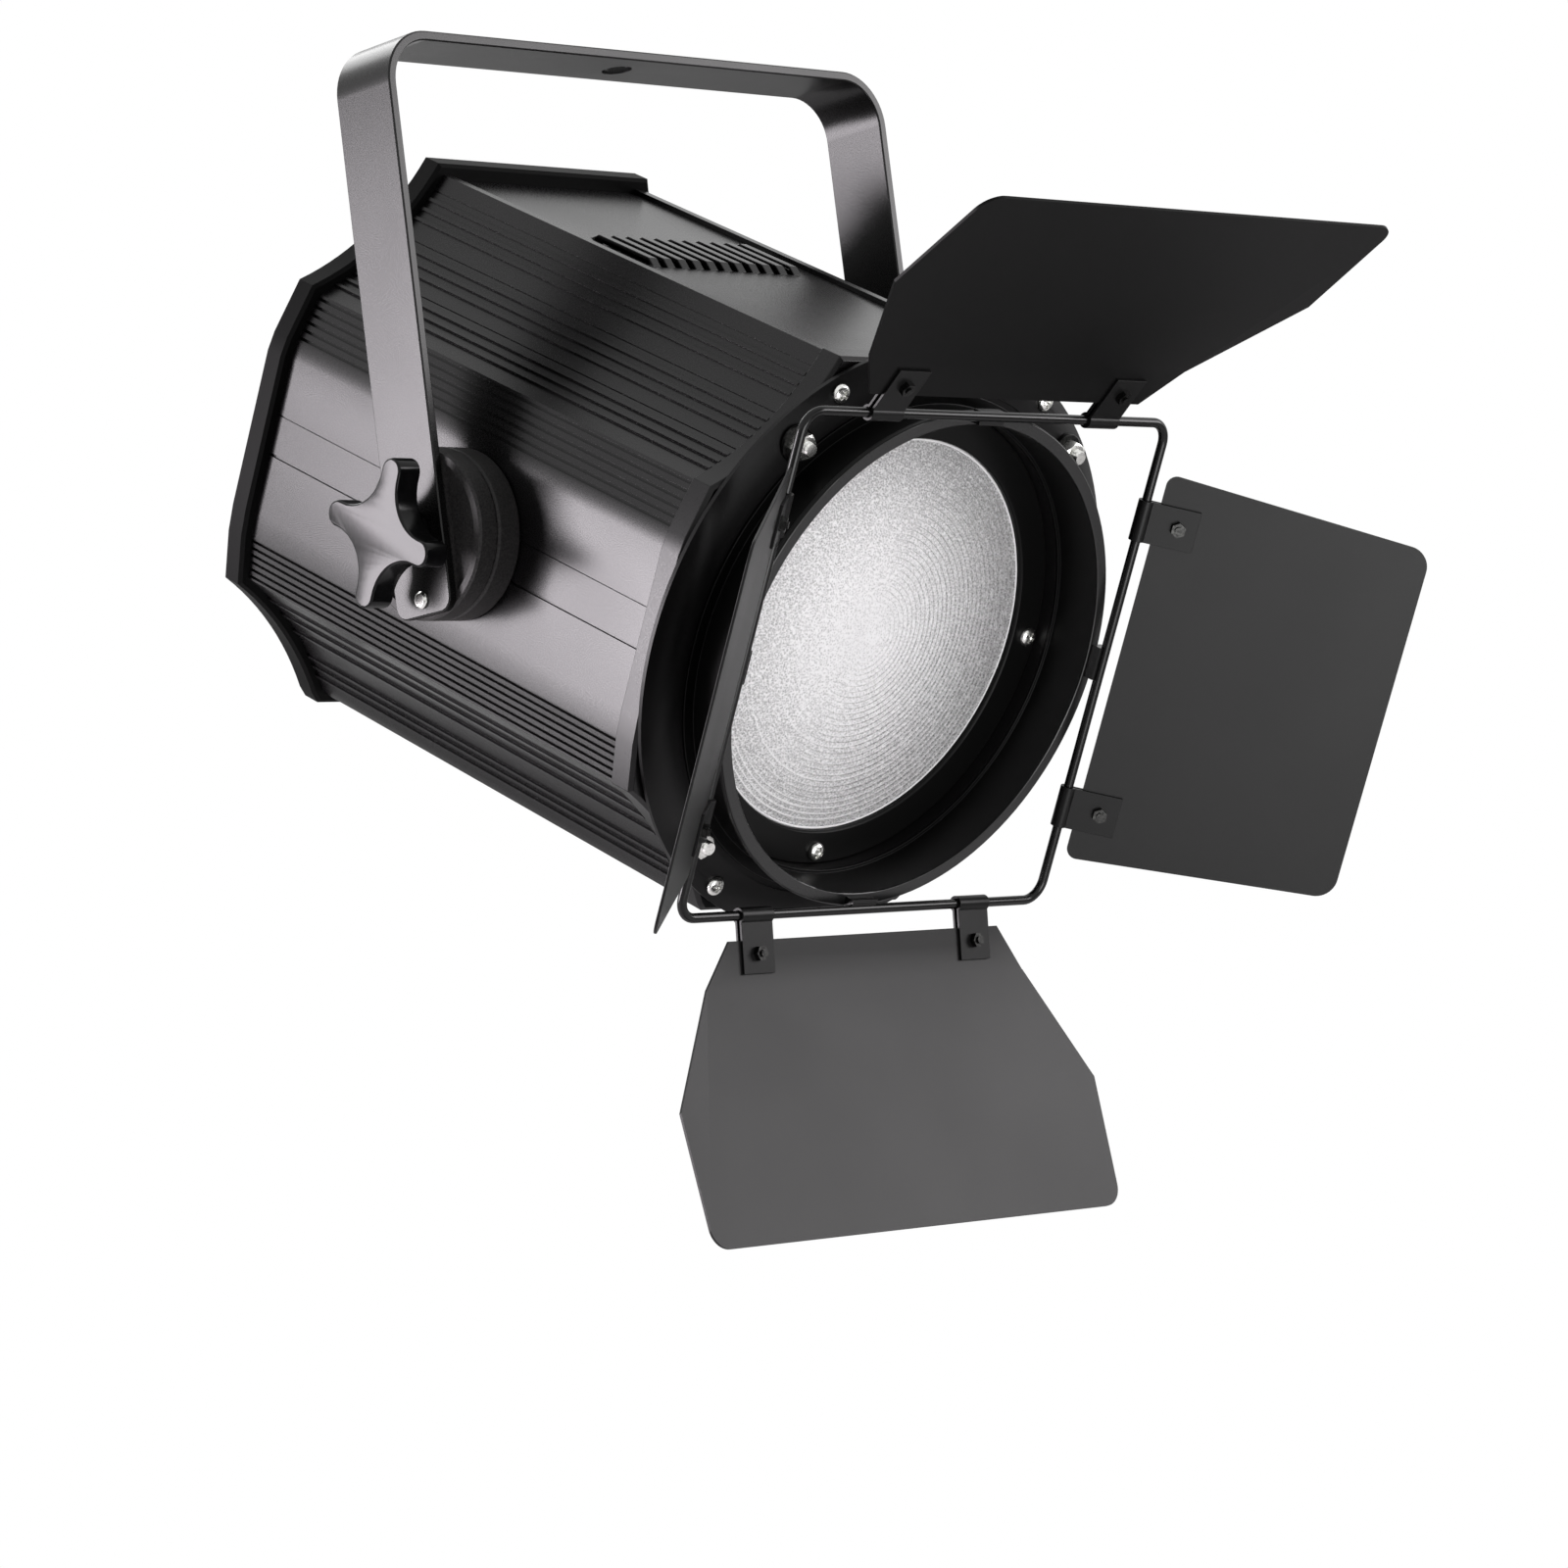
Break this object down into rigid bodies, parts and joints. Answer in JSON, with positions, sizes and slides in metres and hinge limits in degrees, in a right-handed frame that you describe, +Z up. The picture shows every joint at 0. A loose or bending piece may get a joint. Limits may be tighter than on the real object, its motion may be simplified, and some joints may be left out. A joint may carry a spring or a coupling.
{
  "type": "led par can",
  "caption": "Fresnel theatre lamp in a U yoke, with barn doors on a square wire frame, clamp knobs at the tilt axis, a ribbed housing and a cooled light engine inside.",
  "frame": {"origin": "centre of the hanging hole, at the top face of the yoke's bar", "axes": "+X to the right seen from the front, the lamp looks towards -Y and nose down, +Z up along the hanging hole"},
  "size_m": [0.3962, 0.4863, 0.5032],
  "materials": {
    "yoke_paint": "satin",
    "disc_paint": "satin",
    "head_paint": "satin",
    "cast_paint": "satin",
    "hood_paint": "satin",
    "panel_paint": "satin",
    "leaf_paint": "matte",
    "wire_paint": "satin",
    "clip_metal": "satin",
    "bright_screw": "polished",
    "dark_screw": "satin",
    "knob_plastic": "gloss",
    "lens_glass": "satin",
    "display": "gloss",
    "inlet_plastic": "satin",
    "outlet_plastic": "satin",
    "socket_plastic": "satin",
    "button_plastic": "satin",
    "fan_plastic": "matte",
    "sink_metal": "satin",
    "led_yellow": "satin",
    "reflector_metal": "polished",
    "driver_case": "matte",
    "board_green": "satin"
  },
  "bodies": {
    "yoke": {"yoke": "yoke_paint", "yoke_disc_left": "disc_paint", "yoke_disc_right": "disc_paint", "disc_rivets": "bright_screw"},
    "head": {"side_shell_left": "head_paint", "side_shell_right": "head_paint", "top_panel": "head_paint", "bottom_panel": "head_paint", "front_bezel": "cast_paint", "front_flange": "cast_paint", "rear_cap": "cast_paint", "flange_screws": "bright_screw", "flange_spacers": "bright_screw", "hood_studs": "bright_screw", "hood_washers": "bright_screw", "hood_nuts": "bright_screw", "lens_screws": "bright_screw", "hood": "hood_paint", "lens": "lens_glass", "lens_ring": "hood_paint", "barndoor_frame": "wire_paint", "frame_saddles": "wire_paint", "pivot_disc_left": "disc_paint", "pivot_disc_right": "disc_paint", "rear_panel": "panel_paint", "rear_panel_screws": "dark_screw", "fan_screws": "dark_screw", "display_window": "display", "power_inlet": "inlet_plastic", "power_outlet": "outlet_plastic", "dmx_in": "socket_plastic", "dmx_out": "socket_plastic", "fuse_holder": "socket_plastic", "safety_eye": "bright_screw", "fan_frame": "fan_plastic", "heatsink": "sink_metal", "heatsink_brackets": "sink_metal", "cob_led": "led_yellow", "reflector": "reflector_metal", "power_driver": "driver_case", "control_board": "board_green"},
    "knob_left": {"knob_left": "knob_plastic"},
    "knob_right": {"knob_right": "knob_plastic"},
    "fan_rotor": {"fan_rotor": "fan_plastic"},
    "menu_button_1": {"menu_button_1": "button_plastic"},
    "menu_button_2": {"menu_button_2": "button_plastic"},
    "menu_button_3": {"menu_button_3": "button_plastic"},
    "menu_button_4": {"menu_button_4": "button_plastic"},
    "leaf_top": {"leaf_top": "leaf_paint", "clips_top": "clip_metal", "clip_bolts_top": "dark_screw"},
    "leaf_right": {"leaf_right": "leaf_paint", "clips_right": "clip_metal", "clip_bolts_right": "dark_screw"},
    "leaf_bottom": {"leaf_bottom": "leaf_paint", "clips_bottom": "clip_metal", "clip_bolts_bottom": "dark_screw"},
    "leaf_left": {"leaf_left": "leaf_paint", "clips_left": "clip_metal", "clip_bolts_left": "dark_screw"}
  },
  "joints": [
    {"name": "head_tilt", "type": "hinge", "parent": "yoke", "child": "head", "pos_m": [0, 0, -0.204], "axis": [1, 0, 0], "range_deg": [-64, 55]},
    {"name": "knob_left_turn", "type": "hinge", "parent": "head", "child": "knob_left", "pos_m": [-0.16, 0, -0.204], "axis": [-1, 0, 0], "range_deg": [0, 360]},
    {"name": "knob_right_turn", "type": "hinge", "parent": "head", "child": "knob_right", "pos_m": [0.16, 0, -0.204], "axis": [1, 0, 0], "range_deg": [0, 360]},
    {"name": "fan_spin", "type": "hinge", "parent": "head", "child": "fan_rotor", "pos_m": [0, 0.09989, -0.14702], "axis": [0, 0.8686, 0.4955], "continuous": true},
    {"name": "leaf_top_hinge", "type": "hinge", "parent": "head", "child": "leaf_top", "pos_m": [0, -0.18744, -0.19004], "axis": [1, 0, 0], "range_deg": [-40, 70]},
    {"name": "leaf_right_hinge", "type": "hinge", "parent": "head", "child": "leaf_right", "pos_m": [0.105, -0.13542, -0.28124], "axis": [0, 0.4955, -0.8686], "range_deg": [-55, 108]},
    {"name": "leaf_bottom_hinge", "type": "hinge", "parent": "head", "child": "leaf_bottom", "pos_m": [0, -0.0834, -0.37245], "axis": [-1, 0, 0], "range_deg": [-40, 70]},
    {"name": "leaf_left_hinge", "type": "hinge", "parent": "head", "child": "leaf_left", "pos_m": [-0.105, -0.13542, -0.28124], "axis": [0, -0.4955, 0.8686], "range_deg": [-55, 108]},
    {"name": "menu_button_1_press", "type": "slide", "parent": "head", "child": "menu_button_1", "axis": [0, -0.8686, -0.4955], "range_m": [0, 0.001], "stiffness_N_per_m": 400},
    {"name": "menu_button_2_press", "type": "slide", "parent": "head", "child": "menu_button_2", "axis": [0, -0.8686, -0.4955], "range_m": [0, 0.001], "stiffness_N_per_m": 400},
    {"name": "menu_button_3_press", "type": "slide", "parent": "head", "child": "menu_button_3", "axis": [0, -0.8686, -0.4955], "range_m": [0, 0.001], "stiffness_N_per_m": 400},
    {"name": "menu_button_4_press", "type": "slide", "parent": "head", "child": "menu_button_4", "axis": [0, -0.8686, -0.4955], "range_m": [0, 0.001], "stiffness_N_per_m": 400}
  ]
}
